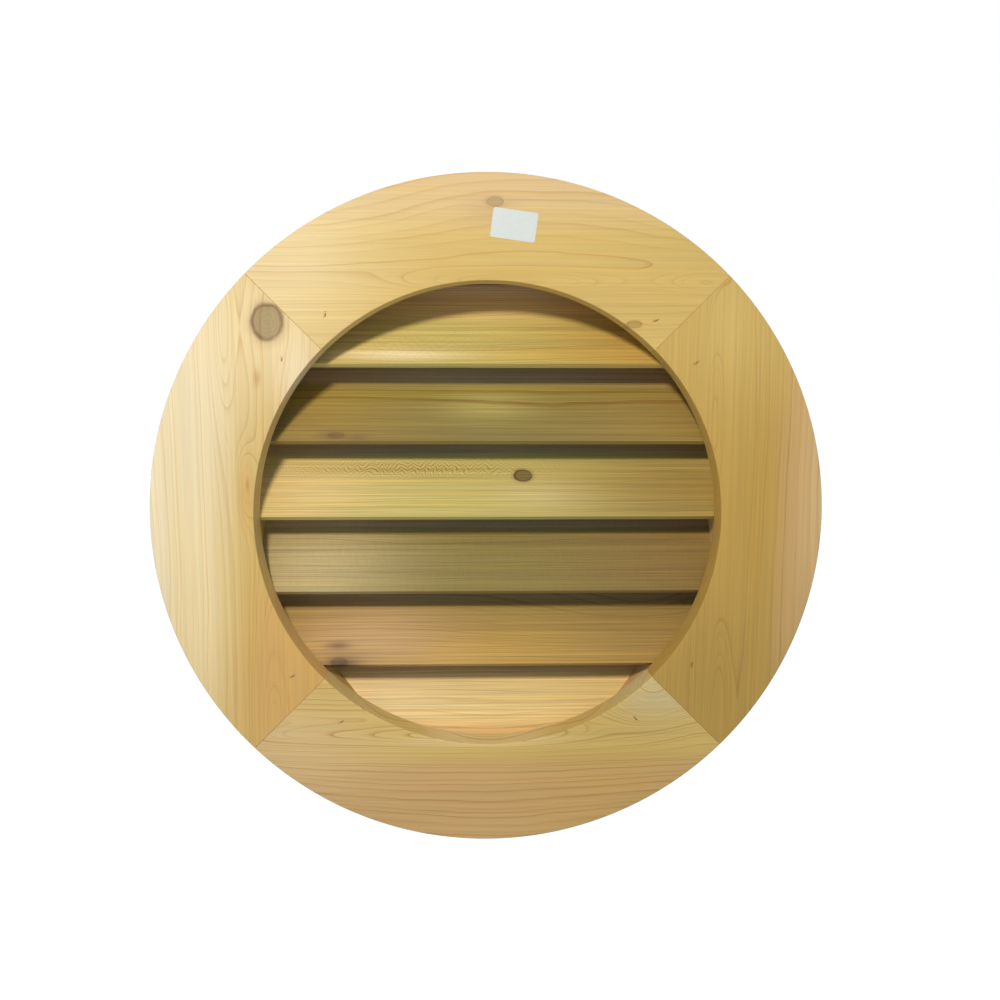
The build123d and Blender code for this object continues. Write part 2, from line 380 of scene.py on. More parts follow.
def build_cedar(name):
    """Cedar from its ring field: rings, fibres, streaks and clouds over the board's own tone."""
    inputs = [
        ("Place", VECTOR), ("Rings", NUMBER), ("Spacing", NUMBER), ("Tone", COLOUR),
        ("Latewood", COLOUR), ("Line Strength", NUMBER), ("Fleck", NUMBER), ("Grain", NUMBER),
    ]
    outputs = [("Color", COLOUR), ("Roughness", NUMBER), ("Height", NUMBER)]
    tree, given, result = new_group(name, inputs, outputs)

    # Rings of uneven width, each a slow rise to a thin dark line
    count = maths(tree, "DIVIDE", given["Rings"], given["Spacing"])
    stray = {"W": count, "Scale": RING_STRAY_RATE, "Detail": 1.0}
    stray = add_node(tree, "ShaderNodeTexNoise", {"noise_dimensions": "1D"}, **stray).outputs[0]
    count = maths(tree, "MULTIPLY_ADD", stray, RING_STRAY, count)
    phase = maths(tree, "FRACT", count)
    rise = maths(tree, "POWER", phase, LINE_STEEPNESS)
    line = maths(tree, "MULTIPLY", rise, smooth_step(tree, phase, 1.0, LINE_END))
    shade = maths(tree, "MULTIPLY", maths(tree, "POWER", phase, 2.0), RING_SHADE)
    ring_number = maths(tree, "FLOOR", count)
    weight = add_node(tree, "ShaderNodeTexWhiteNoise", {"noise_dimensions": "1D"}, W=ring_number).outputs[0]
    weight = maths(tree, "MULTIPLY_ADD", maths(tree, "POWER", weight, LINE_RARITY), LINE_ADDED, LINE_LEAST)
    fade = stretched_noise(tree, given["Place"], FADES)
    weight = maths(tree, "MULTIPLY", weight, maths(tree, "MULTIPLY_ADD", fade, LINE_FADING, 1.0))
    line = maths(tree, "MULTIPLY", line, weight)
    late = maths(tree, "MULTIPLY", maths(tree, "ADD", line, shade), given["Line Strength"])

    # Fibres, streaks, threads, clouds and flecks
    fibre = stretched_noise(tree, given["Place"], FIBRES, 3.0)
    streak = stretched_noise(tree, given["Place"], STREAKS, 2.0)
    thread = stretched_noise(tree, given["Place"], THREADS, 2.0)
    cloud = stretched_noise(tree, given["Place"], CLOUDS, 1.0)
    fleck = stretched_noise(tree, given["Place"], FLECKS, 1.0)
    grain = maths(tree, "MULTIPLY_ADD", streak, STREAK_TONE, maths(tree, "MULTIPLY", fibre, FIBRE_TONE))
    grain = maths(tree, "MULTIPLY_ADD", thread, THREAD_TONE, grain)
    value = maths(tree, "MULTIPLY_ADD", grain, given["Grain"], 1.0)
    value = maths(tree, "MULTIPLY_ADD", cloud, CLOUD_TONE, value)
    value = maths(tree, "MULTIPLY_ADD", maths(tree, "MULTIPLY", fleck, given["Fleck"]), FLECK_TONE, value)
    wood = add_node(tree, "ShaderNodeVectorMath", {"operation": "SCALE"}, Scale=value)
    feed(tree, given["Tone"], wood.inputs[0])
    warm = smooth_step(tree, streak, -0.1, 0.3)
    wood = mix(tree, warm, wood.outputs[0], opaque(WARM_STREAK), "MULTIPLY")
    feed(tree, mix(tree, late, wood, given["Latewood"], "MULTIPLY"), result["Color"])

    rough = maths(tree, "MULTIPLY_ADD", streak, 0.25, 0.62)
    feed(tree, maths(tree, "MULTIPLY_ADD", line, -0.1, rough), result["Roughness"])
    height = maths(tree, "MULTIPLY_ADD", line, 0.5, maths(tree, "MULTIPLY", fibre, 0.8))
    feed(tree, maths(tree, "MULTIPLY_ADD", streak, 0.5, height), result["Height"])
    return tree


def build_knot(name):
    """A round knot: how much of the heart, the dark rim and the stained wood round it shows."""
    outputs = [("Heart", NUMBER), ("Rim", NUMBER), ("Stain", NUMBER), ("Growth", NUMBER)]
    tree, given, result = new_group(name, [*SPOT_INPUTS, ("Place", VECTOR)], outputs)
    wobble = stretched_noise(tree, given["Place"], KNOT_WOBBLES, 5.0)
    reach = maths(tree, "SQRT", reach_squared(tree, given))
    reach = maths(tree, "MULTIPLY_ADD", wobble, KNOT_UNEVEN, reach)
    feed(tree, smooth_step(tree, reach, 1.06, 0.9), result["Heart"])
    feed(tree, smooth_step(tree, reach, 1.75, 0.95), result["Stain"])

    # The rim is broken here and there, and growth rings show in the heart
    edge = maths(tree, "DIVIDE", maths(tree, "SUBTRACT", reach, 1.0), KNOT_RIM_WIDTH)
    gaps = stretched_noise(tree, given["Place"], KNOT_RIM_GAPS, 1.0)
    rim = bell(tree, maths(tree, "MULTIPLY", edge, edge))
    feed(tree, maths(tree, "MULTIPLY", rim, smooth_step(tree, gaps, -0.35, 0.12)), result["Rim"])
    growth = maths(tree, "MULTIPLY", reach, KNOT_GROWTH)
    wave = maths(tree, "SINE", maths(tree, "MULTIPLY_ADD", wobble, KNOT_GROWTH_UNEVEN, growth))
    feed(tree, maths(tree, "MULTIPLY_ADD", wave, 0.5, 0.5), result["Growth"])
    return tree


def knot(tree, place, along, across, spot):
    """The outputs of a knot on a spot."""
    group = group_named("Knot", build_knot)
    return use_group(tree, group, Place=place, Along=along, Across=across, **spot_sizes(spot))


def new_material(name):
    material = bpy.data.materials.new(name)
    material.use_nodes = True
    tree = material.node_tree
    return material, tree, tree.nodes["Principled BSDF"]


def add_bump(tree, shader, height, strength, distance):
    bump = add_node(tree, "ShaderNodeBump", Height=height, Strength=strength, Distance=distance)
    feed(tree, bump.outputs[0], shader.inputs["Normal"])


@dataclass
class Board:
    """How one cedar board is grown, with sizes in mm.

    Bands of tint across it are (place across, tint). The rest are spots, which start with the centre
    along, the centre across, half the length and half the width. Swells in the rings end with their
    rise, knots with their darkness, patches with a tint and its amount, and the one stretch of chevrons
    with its strength and the length of one. spacing multiplies the distance between the rings, slope is
    how much they lean through the board, lines, fleck and grain are strengths, and shift moves the
    board to another place in its tree.
    """

    along: tuple
    across: tuple
    bands: list
    swells: tuple = ()
    knots: tuple = ()
    patches: tuple = ()
    chevrons: tuple = ()
    spacing: float = 1.0
    slope: float = 0.8
    lines: float = 0.8
    fleck: float = 0.0
    grain: float = 1.0
    shift: float = 0.0


def grow_rings(tree, board, along, across, depth, shifted):
    """The ring field of a board, with the flow and the ripple of its wood.

    The rings lean through the board, wander along it, go round knots and rise in swells.
    """
    waver = stretched_noise(tree, shifted, WAVERS, 1.0)
    ripple = stretched_noise(tree, shifted, RIPPLES, 1.0)
    flow = maths(tree, "MULTIPLY_ADD", waver, WAVER_REACH, across)
    flow = maths(tree, "MULTIPLY_ADD", ripple, RIPPLE_REACH, flow)
    for x, z, half_length, half_width, _ in board.knots:
        bent_length, bent_width = KNOT_BEND_SIZES[0] * half_length, KNOT_BEND_SIZES[1] * half_width
        near = swell(tree, along, across, (x, z, bent_length, bent_width))
        aside = maths(tree, "MULTIPLY", maths(tree, "SUBTRACT", flow, z * MM), near)
        flow = maths(tree, "MULTIPLY_ADD", aside, -KNOT_BEND, flow)
    rings = maths(tree, "MULTIPLY_ADD", depth, board.slope, flow)
    for *spot, rise in board.swells:
        rings = maths(tree, "MULTIPLY_ADD", swell(tree, along, across, spot), rise * MM, rings)
    return rings, flow, ripple


def tint_bands(tree, bands, place, cedar):
    """Tints eased into each other across a board."""
    low, high = bands[0][0] * MM, bands[-1][0] * MM
    share = add_node(tree, "ShaderNodeMapRange", Value=place, From_Min=low, From_Max=high).outputs[0]
    ramp = add_node(tree, "ShaderNodeValToRGB", Fac=share)
    ramp.color_ramp.interpolation = "EASE"
    elements = ramp.color_ramp.elements
    while len(elements) < len(bands):
        elements.new(0.5)
    for element, (where, tint) in zip(elements, bands):
        element.position = (where * MM - low) / (high - low)
        element.color = opaque(getattr(cedar, tint))
    return ramp.outputs[0]


def draw_chevrons(tree, chevrons, tone, along, across, flow, ripple, cedar):
    """A stretch of zigzag figure on a tone."""
    *spot, strength, length = chevrons
    rippled = maths(tree, "MULTIPLY_ADD", ripple, CHEVRON_RIPPLE, along)
    zigzag = maths(tree, "PINGPONG", rippled, length / 2 * MM)
    count = maths(tree, "DIVIDE", maths(tree, "ADD", flow, zigzag), CHEVRON_STRIPE * length * MM)
    stripe = smooth_step(tree, maths(tree, "SINE", maths(tree, "MULTIPLY", count, 2 * pi)), 0.0, 1.0)
    cover = maths(tree, "MULTIPLY", swell(tree, along, across, spot), strength)
    return mix(tree, maths(tree, "MULTIPLY", stripe, cover), tone, opaque(cedar.latewood), "MULTIPLY")


def draw_knot(tree, look, darkness, colour, cedar):
    """A knot's stain, heart and rim on a colour."""
    rim = opaque(cedar.knot_rim)
    heart = mix(tree, look["Growth"], opaque(cedar.knot), opaque(cedar.knot, KNOT_DARK_GROWTH))
    parts = {"Stain": (KNOT_STAIN * darkness, rim), "Heart": (darkness, heart), "Rim": (darkness, rim)}
    for part, (amount, tint) in parts.items():
        colour = mix(tree, maths(tree, "MULTIPLY", look[part], amount), colour, tint, "MULTIPLY")
    return colour


def cedar_material(name, board, cedar):
    """Cedar for one board, in coordinates along, across and through it."""
    material, tree, shader = new_material(name)
    along, across = Vector(board.along), Vector(board.across)
    turn = Matrix((along, across, along.cross(across))).to_euler("XYZ")
    place = add_node(tree, "ShaderNodeMapping", Vector=object_place(tree), Rotation=turn).outputs[0]
    along, across, depth = add_node(tree, "ShaderNodeSeparateXYZ", Vector=place).outputs
    shift = (board.shift, board.shift, 0)
    shifted = add_node(tree, "ShaderNodeMapping", Vector=place, Location=shift).outputs[0]

    rings, flow, ripple = grow_rings(tree, board, along, across, depth, shifted)
    bands = maths(tree, "MULTIPLY_ADD", maths(tree, "SUBTRACT", flow, across), 0.5, across)
    tone = tint_bands(tree, board.bands, bands, cedar)
    for *spot, tint, amount in board.patches:
        cover = maths(tree, "MULTIPLY", swell(tree, along, across, spot), amount)
        tone = mix(tree, cover, tone, opaque(getattr(cedar, tint)))
    if board.chevrons:
        tone = draw_chevrons(tree, board.chevrons, tone, along, across, flow, ripple, cedar)

    wood = use_group(
        tree, group_named("Cedar", build_cedar), Place=shifted, Rings=rings, Tone=tone,
        Spacing=cedar.ring_spacing * board.spacing, Latewood=opaque(cedar.latewood),
        Line_Strength=board.lines, Fleck=board.fleck, Grain=board.grain,
    )
    colour = wood["Color"]
    for *spot, darkness in board.knots:
        colour = draw_knot(tree, knot(tree, place, along, across, spot), darkness, colour, cedar)
    feed(tree, colour, shader.inputs["Base Color"])
    feed(tree, wood["Roughness"], shader.inputs["Roughness"])
    shader.inputs["Specular IOR Level"].default_value = 0.35
    add_bump(tree, shader, wood["Height"], 0.35, 0.25 * MM)
    return material


# The four boards of the face frame
RIGHTWARD = (1, 0, 0)
UPWARD = (0, 0, 1)
FACE_BOARDS = {
    "top": Board(
        RIGHTWARD, UPWARD,
        bands=[(140, "gold"), (195, "gold"), (235, "gold"), (265, "honey"), (292, "fawn")],
        swells=[(60, 300, 190, 62, -40), (30, 201, 100, 11, 40), (188, 201, 40, 11, 34)],
        knots=[(5, 268, 7, 4, 0.35), (124, 167, 6, 3, 0.4)],
        patches=[
            (-170, 225, 75, 80, "straw", 0.85), (-205, 190, 50, 40, "straw", 0.7),
            (195, 195, 80, 60, "gold", 0.8), (60, 208, 110, 14, "gold", 0.5), (0, 262, 22, 14, "rose", 0.5),
        ],
        spacing=1.2, shift=0.31, lines=0.65, grain=0.8,
    ),
    "right": Board(
        UPWARD, RIGHTWARD,
        bands=[(140, "ochre"), (200, "ochre"), (240, "ochre"), (272, "tan"), (292, "tan")],
        swells=[(80, 193, 115, 14, 45), (-200, 202, 135, 14, 45)],
        patches=[
            (175, 215, 80, 90, "gold", 0.9), (30, 288, 110, 14, "fawn", 0.7),
            (-150, 200, 90, 90, "umber", 0.3),
        ],
        spacing=1.4, shift=1.7, lines=0.7, grain=0.8,
    ),
    "bottom": Board(
        RIGHTWARD, UPWARD,
        bands=[(-292, "tan"), (-262, "tan"), (-232, "tan"), (-205, "gold"), (-150, "gold")],
        swells=[
            (54, -196, 248, 12, 43), (160, -196, 112, 12, -40), (146, -150, 34, 32, 62),
            (20, -290, 170, 80, 25),
        ],
        patches=[
            (-185, -205, 80, 50, "fawn", 0.85), (0, -200, 80, 5, "straw", 0.6),
            (150, -160, 36, 24, "sage", 0.95), (110, -240, 80, 60, "ochre", 0.4),
        ],
        spacing=1.0, shift=3.3, lines=0.95, grain=0.8,
    ),
    "left": Board(
        UPWARD, RIGHTWARD,
        bands=[
            (-292, "cream"), (-268, "straw"), (-246, "straw"), (-228, "wheat"), (-208, "gold"),
            (-140, "amber"),
        ],
        swells=[(-230, -192, 150, 15, 52), (30, -209, 34, 9, 30), (170, -226, 96, 11, 40)],
        knots=[(167.9, -187.2, 15, 13, 0.76)],
        patches=[
            (165, -190, 70, 90, "straw", 0.9), (110, -255, 120, 40, "cream", 0.7),
            (125, -165, 34, 16, "cream", 0.6), (121, -197, 7, 3, "tan", 0.9), (20, -209, 30, 7, "amber", 0.6),
            (-120, -188, 70, 22, "amber", 0.8), (-170, -200, 60, 50, "amber", 0.45),
        ],
        spacing=1.5, shift=5.9, lines=0.5, grain=0.7,
    ),
}

# The louvres, seen on their sloping front faces, from the top one down. On louvres 2 to 6 the last band is
# painted shade: a greyer, lighter tint on the upper part, where the louvre above casts its shadow
UP_SLOPE = (0, sin(LOUVRE_TILT), cos(LOUVRE_TILT))


def louvre_board(bands, **growth):
    """A louvre's board, which has more grain than the frame's."""
    return Board(RIGHTWARD, UP_SLOPE, bands=bands, grain=2.1, **growth)


# Each louvre's patches make its left end lighter and its right end darker: painted light falling from the
# left
LOUVRES = [
    louvre_board(
        # The wheat and cream bands at the top are painted light, lifting the shadow that the frame casts
        # there
        bands=[(100, "lime"), (125, "lime"), (150, "lime"), (172, "wheat"), (204, "cream")],
        swells=[(-60, 150, 120, 30, 10)], chevrons=(-60, 130, 90, 20, 0.12, 17),
        patches=[
            # The thin cream streak at the left is a painted sheen
            (-140, 130, 80, 40, "wheat", 0.35), (-80, 119, 55, 5, "cream", 0.7),
            (140, 130, 90, 60, "ochre", 0.9), (70, 121, 80, 8, "ochre", 0.5),
        ],
        spacing=0.5, shift=11.3, lines=0.65,
    ),
    louvre_board(
        bands=[(54, "olive"), (80, "olive"), (112, "moss"), (123, "painted_shade"), (150, "painted_shade")],
        swells=[(60, 82, 140, 22, 13)], knots=[(-135, 60, 7, 3, 0.25)],
        patches=[
            (-150, 78, 70, 40, "ochre", 0.4), (0, 92, 45, 16, "lime", 0.5),
            (-138, 60, 13, 5, "smoke", 0.6), (-116, 58, 10, 4, "smoke", 0.6),
            (-120, 62, 50, 9, "umber", 0.35), (170, 75, 90, 60, "bronze", 0.8),
        ],
        spacing=0.5, shift=13.1, lines=0.85,
    ),
    louvre_board(
        bands=[(-10, "lime"), (20, "lime"), (60, "lime"), (71, "painted_shade"), (95, "painted_shade")],
        knots=[(32, 42, 8, 6, 1.0)], chevrons=(-70, 50, 100, 8, 1.0, 10),
        patches=[
            (-170, 25, 70, 40, "wheat", 0.9), (55, 22, 45, 14, "straw", 0.45),
            (175, 25, 110, 60, "bronze", 0.95),
        ],
        spacing=0.5, shift=17.7, lines=0.8,
    ),
    louvre_board(
        bands=[(-80, "olive"), (-40, "olive"), (4, "olive"), (15, "painted_shade"), (40, "painted_shade")],
        swells=[(-60, -20, 150, 22, 9)],
        patches=[(-160, -30, 80, 50, "sage", 0.85), (180, -30, 110, 60, "umber", 0.9)],
        spacing=0.45, shift=19.9, lines=0.8, fleck=0.4,
    ),
    louvre_board(
        bands=[(-140, "rose"), (-105, "ochre"), (-51, "bronze"), (-40, "painted_shade"), (-15, "painted_shade")],
        swells=[(130, -62, 120, 26, 24)], knots=[(-136, -108, 7, 4, 0.4)],
        patches=[
            (-110, -85, 70, 40, "rose", 0.9), (-138, -92, 12, 4, "smoke", 0.75),
            (-134, -109, 18, 7, "smoke", 0.95), (-120, -103, 40, 10, "smoke", 0.2),
            (150, -85, 90, 60, "umber", 0.6),
        ],
        spacing=0.65, shift=23.3, lines=0.85,
    ),
    louvre_board(
        bands=[(-210, "gold"), (-172, "amber"), (-140, "wheat"), (-107, "wheat"), (-95, "painted_shade")],
        swells=[(-20, -158, 120, 22, 14)],
        patches=[(-110, -135, 60, 40, "straw", 0.7), (120, -140, 60, 40, "gold", 0.5)],
        spacing=0.6, shift=29.7, lines=0.75,
    ),
]


def body_board(name):
    """Grain along a body board, worked out from which side of the body it is on."""
    low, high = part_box(name)
    middle = (low + high) / 2
    angle = round(atan2(middle.z, middle.x) / (pi / 4)) * pi / 4
    tints = ("tan", "ochre", "honey") if len(name) % 2 else ("honey", "tan", "rose")
    places = (0, BODY_BACK / MM / 2, BODY_BACK / MM)

    # Its name says how far into the tree it is cut, so that no two boards look the same
    shift = sum(map(ord, name)) * 0.37
    bands = list(zip(places, tints))
    return Board((-sin(angle), 0, cos(angle)), (0, 1, 0), bands, spacing=0.8, lines=0.6, shift=shift)


SHARP_ANGLE = radians(35)


def finish_mesh(mesh):
    """Smooth shading, with the sharp edges kept sharp."""
    made = bmesh.new()
    made.from_mesh(mesh)
    for face in made.faces:
        face.smooth = True
    for edge in made.edges:
        if len(edge.link_faces) == 2:
            edge.smooth = edge.calc_face_angle() < SHARP_ANGLE
    made.to_mesh(mesh)
    made.free()


def paint(mesh, material):
    mesh.materials.clear()
    mesh.materials.append(material)


def new_object(name, data):
    """An object with its mesh, camera or light, in the scene."""
    made = bpy.data.objects.new(name, data)
    bpy.context.scene.collection.objects.link(made)
    return made


def new_piece(name, mesh, material, nodes=()):
    """A finished piece of the vent, riding on its one body."""
    piece = new_object(name, mesh)
    paint(mesh, material)
    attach(piece, "root")
    if nodes:
        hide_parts(*nodes)
    return piece


def evaluated_mesh(source, name):
    """The plain mesh of an object with its modifiers, after which the object is removed."""
    graph = bpy.context.evaluated_depsgraph_get()
    mesh = bpy.data.meshes.new_from_object(source.evaluated_get(graph), depsgraph=graph)
    mesh.name = name
    bpy.data.objects.remove(source)
    return mesh


# Corners nearer to each other than this are one corner
SAME_CORNER = 1e-6


def solids_of(node):
    """The corner points of each separate solid in a CAD node."""
    made = bmesh.new()
    made.from_mesh(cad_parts[node].data)
    bmesh.ops.remove_doubles(made, verts=made.verts, dist=SAME_CORNER)
    found, seen = [], set()
    for start in made.verts:
        if start in seen:
            continue
        island, queue = [], [start]
        seen.add(start)
        while queue:
            vertex = queue.pop()
            island.append(vertex.co.copy())
            for edge in vertex.link_edges:
                other = edge.other_vert(vertex)
                if other not in seen:
                    seen.add(other)
                    queue.append(other)
        found.append(island)
    made.free()
    return found


def join_loops(made, loops):
    """Faces between each loop of corners and the next, and over the first and the last one."""
    for first, second in zip(loops, loops[1:]):
        for i in range(len(first)):
            j = (i + 1) % len(first)
            made.faces.new((first[i], first[j], second[j], second[i]))
    made.faces.new(loops[0])
    made.faces.new(loops[-1])


def closed_mesh(made, name):
    """The mesh that has been made, with its faces turned outwards."""
    bmesh.ops.recalc_face_normals(made, faces=made.faces)
    mesh = bpy.data.meshes.new(name)
    made.to_mesh(mesh)
    made.free()
    return mesh


def mitre_angle(side_x, side_z, radius):
    """Angle at which a mitre crosses a circle. The mitres meet a little above the centre."""
    run = sqrt(radius**2 - MITRE_RISE**2 / 2) - side_z * MITRE_RISE / sqrt(2)
    return atan2(MITRE_RISE + side_z * run / sqrt(2), side_x * run / sqrt(2))


# How the face boards are drawn: eased seams, steps in an eased edge and rows across the flat front
SEAM_EASE = 0.25 * MM
EDGE_STEPS = 6
FRONT_ROWS = 8


def face_profile(ease):
    """Section of the face frame as (radius, depth), from the back of the opening round to its rim."""
    turns = [step / EDGE_STEPS * pi / 2 for step in range(EDGE_STEPS + 1)]
    eased = [(ease * (1 - cos(turn)), SANDED_FRONT + ease * (1 - sin(turn))) for turn in turns]
    flat = FACE_RADIUS - OPENING_RADIUS - 2 * ease
    return [
        (OPENING_RADIUS, 0.0),
        *((OPENING_RADIUS + inset, depth) for inset, depth in eased),
        *((OPENING_RADIUS + ease + flat * row / FRONT_ROWS, SANDED_FRONT) for row in range(1, FRONT_ROWS)),
        *((FACE_RADIUS - inset, depth) for inset, depth in reversed(eased)),
        (FACE_RADIUS, 0.0),
    ]


def board_angles(radius, mitres, gaps, face):
    """Angles of a face board's points on one circle, from mitre to mitre, with a lip beside each."""
    share_out = (radius - OPENING_RADIUS) / (FACE_RADIUS - OPENING_RADIUS)
    start, end = (mitre_angle(*mitre, radius) for mitre in mitres)
    start_gap, end_gap = (face.mitre_gap + (gap - face.mitre_gap) * share_out**2 for gap in gaps)
    start += start_gap / 2 / radius
    end -= end_gap / 2 / radius
    if end < start:
        end += 2 * pi
    lip = SEAM_EASE / radius
    steps = face.arc_steps - 2
    between = [start + lip + (end - start - 2 * lip) * step / steps for step in range(steps + 1)]
    return [start, *between, end]


def face_board_mesh(name, mitres, gaps, face):
    """A quarter of the ring, swept between its two mitres, with eased front edges.

    mitres are the signs of x and z on each, in order of growing angle. gaps are the widths of the
    two joints at the rim.
    """
    profile = face_profile(face.edge_ease)
    angles = [board_angles(radius, mitres, gaps, face) for radius, _ in profile]
    made = bmesh.new()
    columns = []
    for column in range(face.arc_steps + 1):
        front = SANDED_FRONT + SEAM_EASE if column in (0, face.arc_steps) else SANDED_FRONT
        ring = []
        for (radius, depth), turns in zip(profile, angles):
            angle = turns[column]
            ring.append(made.verts.new((radius * cos(angle), max(depth, front), radius * sin(angle))))
        columns.append(ring)
    join_loops(made, columns)
    return closed_mesh(made, name)


# How near the outermost corner of a staple the corners of its crown lie
CROWN_DEPTH = 0.1 * MM


def crown_of(island, outward):
    """Middle, direction and length of a staple's crown, from its solid's corner points."""
    top = max(point.dot(outward) for point in island)
    crown = [point for point in island if point.dot(outward) > top - CROWN_DEPTH]
    middle = sum(crown, Vector()) / len(crown)
    far = max(crown, key=lambda point: (point - middle).length)
    facing = [point for point in crown if (point - middle).dot(far - middle) > 0]
    end = sum(facing, Vector()) / len(facing)
    return middle, (end - middle).normalized(), 2 * (end - middle).length


# The uneven slot that a staple leaves, as shares of its crown and of the slot's width, and the slot's
# front and depth
SLOT_OUTLINE = [(0.56, 0.0), (0.48, 0.55), (-0.47, 0.6), (-0.57, 0.1), (-0.49, -0.55), (0.46, -0.6)]
SLOT_WIDTH = 1.9 * MM
SLOT_FRONT = FACE_FRONT - 1 * MM
SLOT_UNDER_CROWN = 0.2 * MM


def slot_cutter(name, staples):
    """Small six-sided holes round the crowns of the face staples."""
    made = bmesh.new()
    for middle, crown, length in staples:
        side = crown.cross(Vector((0, 1, 0)))
        loops = []
        for y in (SLOT_FRONT, middle.y + SLOT_UNDER_CROWN):
            start = Vector((middle.x, y, middle.z))
            loops.append([
                made.verts.new(start + crown * (a * length) + side * (b * SLOT_WIDTH))
                for a, b in SLOT_OUTLINE
            ])
        join_loops(made, loops)
    return closed_mesh(made, name)


FACE_OUTWARD = Vector((0, -1, 0))
BACK_OUTWARD = Vector((0, 1, 0))

# Each face board's two mitres, as signs of x and z, and how far they stand open at the rim
FACE_MITRES = {
    "right": (((1, -1), (1, 1)), (0.15 * MM, 0.05 * MM)),
    "top": (((1, 1), (-1, 1)), (0.05 * MM, 0.2 * MM)),
    "left": (((-1, 1), (-1, -1)), (0.2 * MM, 0.2 * MM)),
    "bottom": (((-1, -1), (1, -1)), (0.2 * MM, 0.15 * MM)),
}


class VENT_OT_face_boards(bpy.types.Operator):
    """Make the four mitred boards of the round face frame"""

    bl_idname = "vent.face_boards"
    bl_label = "Face Boards"

    def execute(self, context):
        settings = context.scene.gable_vent
        staples = [crown_of(island, FACE_OUTWARD) for island in solids_of("face_staples")]
        for name, (mitres, gaps) in FACE_MITRES.items():
            raw = new_object("raw_board", face_board_mesh(f"cedar_face_{name}", mitres, gaps, settings.face))
            cutter = new_object("slots", slot_cutter("slots", staples))
            cut = raw.modifiers.new("Staple slots", "BOOLEAN")
            cut.operation = "DIFFERENCE"
            cut.solver = "EXACT"
            cut.object = cutter
            board = evaluated_mesh(raw, f"cedar_face_{name}")
            bpy.data.objects.remove(cutter)
            finish_mesh(board)
            material = cedar_material(f"Cedar face {name}", FACE_BOARDS[name], settings.cedar)
            new_piece(f"cedar_face_{name}", board, material, [f"face_board_{name}"])
        return {"FINISHED"}


def dress_node(node, material):
    """Gives a CAD node its material."""
    paint(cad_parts[node].data, material)


class VENT_OT_louvres(bpy.types.Operator):
    """Give each louvre its own cedar"""

    bl_idname = "vent.louvres"
    bl_label = "Louvres"

    def execute(self, context):
        cedar = context.scene.gable_vent.cedar
        for number, board in enumerate(LOUVRES, start=1):
            dress_node(f"louvre_{number}", cedar_material(f"Cedar louvre {number}", board, cedar))
        return {"FINISHED"}


class VENT_OT_body_boards(bpy.types.Operator):
    """Give the eight boards of the body their cedar"""

    bl_idname = "vent.body_boards"
    bl_label = "Body Boards"

    def execute(self, context):
        cedar = context.scene.gable_vent.cedar
        for name in sorted(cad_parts):
            if name.startswith("body_board"):
                dress_node(name, cedar_material(f"Cedar {name}", body_board(name), cedar))
        return {"FINISHED"}


# How often the spots on the wire and the pulp of the paper change per metre
ZINC_SPOTS = (900.0, 900.0, 900.0)
PAPER_PULP = (700.0, 700.0, 700.0)


def metal_material(name, colour, roughness):
    """Wire with a dull, uneven zinc or oxide skin."""
    material, tree, shader = new_material(name)
    spots = stretched_noise(tree, object_place(tree), ZINC_SPOTS, 3.0)
    skin = mix(tree, smooth_step(tree, spots, -0.2, 0.25), opaque(colour), opaque(colour, 0.6))
    feed(tree, skin, shader.inputs["Base Color"])
    feed(tree, maths(tree, "MULTIPLY_ADD", spots, 0.4, roughness), shader.inputs["Roughness"])
    shader.inputs["Metallic"].default_value = 0.85
    add_bump(tree, shader, spots, 0.2, 0.05 * MM)
    return material


def new_geometry_tree(name, inputs):
    """A geometry node tree with its named inputs, its input node and its output socket."""
    tree = bpy.data.node_groups.new(name, "GeometryNodeTree")
    tree.interface.new_socket("Geometry", in_out="OUTPUT", socket_type=GEOMETRY)
    for label, kind in [("Geometry", GEOMETRY), *inputs]:
        tree.interface.new_socket(label, in_out="INPUT", socket_type=kind)
    return tree, tree.nodes.new("NodeGroupInput").outputs, tree.nodes.new("NodeGroupOutput").inputs[0]


def finish_tree(tree, geometry, material, result):
    """Ends a tree in Realize Instances and Set Material."""
    real = add_node(tree, "GeometryNodeRealizeInstances", Geometry=geometry).outputs[0]
    painted = add_node(tree, "GeometryNodeSetMaterial", Geometry=real, Material=material).outputs[0]
    feed(tree, painted, result)


def run_tree(name, mesh, tree, values):
    """The plain mesh that a tree makes of a mesh, with its inputs set by their identifiers."""
    source = new_object(name, mesh)
    modifier = source.modifiers.new(tree.name, "NODES")
    modifier.node_group = tree
    for item in tree.interface.items_tree:
        if item.in_out == "INPUT" and item.name in values:
            modifier[item.identifier] = values[item.name]
    return evaluated_mesh(source, name)


def points_mesh(name, points):
    """Loose points, each with the way out of the wood and the way across it as attributes."""
    mesh = bpy.data.meshes.new(name)
    mesh.from_pydata([place for place, _, _ in points], [], [])
    for label, index in (("outward", 1), ("across", 2)):
        attribute = mesh.attributes.new(label, "FLOAT_VECTOR", "POINT")
        attribute.data.foreach_set("vector", [c for point in points for c in point[index]])
    return mesh


def placed_at_points(tree, points, shape):
    """A shape on every point, its Z outward and its X across."""
    turn = add_node(tree, "FunctionNodeAxesToRotation", {"primary_axis": "Z", "secondary_axis": "X"})
    for label, socket in zip(("outward", "across"), turn.inputs):
        way = add_node(tree, "GeometryNodeInputNamedAttribute", {"data_type": "FLOAT_VECTOR"}, Name=label)
        feed(tree, way.outputs[0], socket)
    places = {"Points": points, "Instance": shape, "Rotation": turn.outputs[0]}
    return add_node(tree, "GeometryNodeInstanceOnPoints", **places).outputs[0]


def wire_mesh(tree, path, radius, sides):
    """Round wire along a path."""
    section = add_node(tree, "GeometryNodeCurvePrimitiveCircle", Resolution=sides, Radius=radius).outputs[0]
    wire = add_node(tree, "GeometryNodeCurveToMesh", Curve=path, Profile_Curve=section, Fill_Caps=True)
    return wire.outputs[0]


# Steps round each bend of a staple, and how much of its square wire's width a round brad has
BEND_STEPS = 4
BRAD_SHARE = 0.98


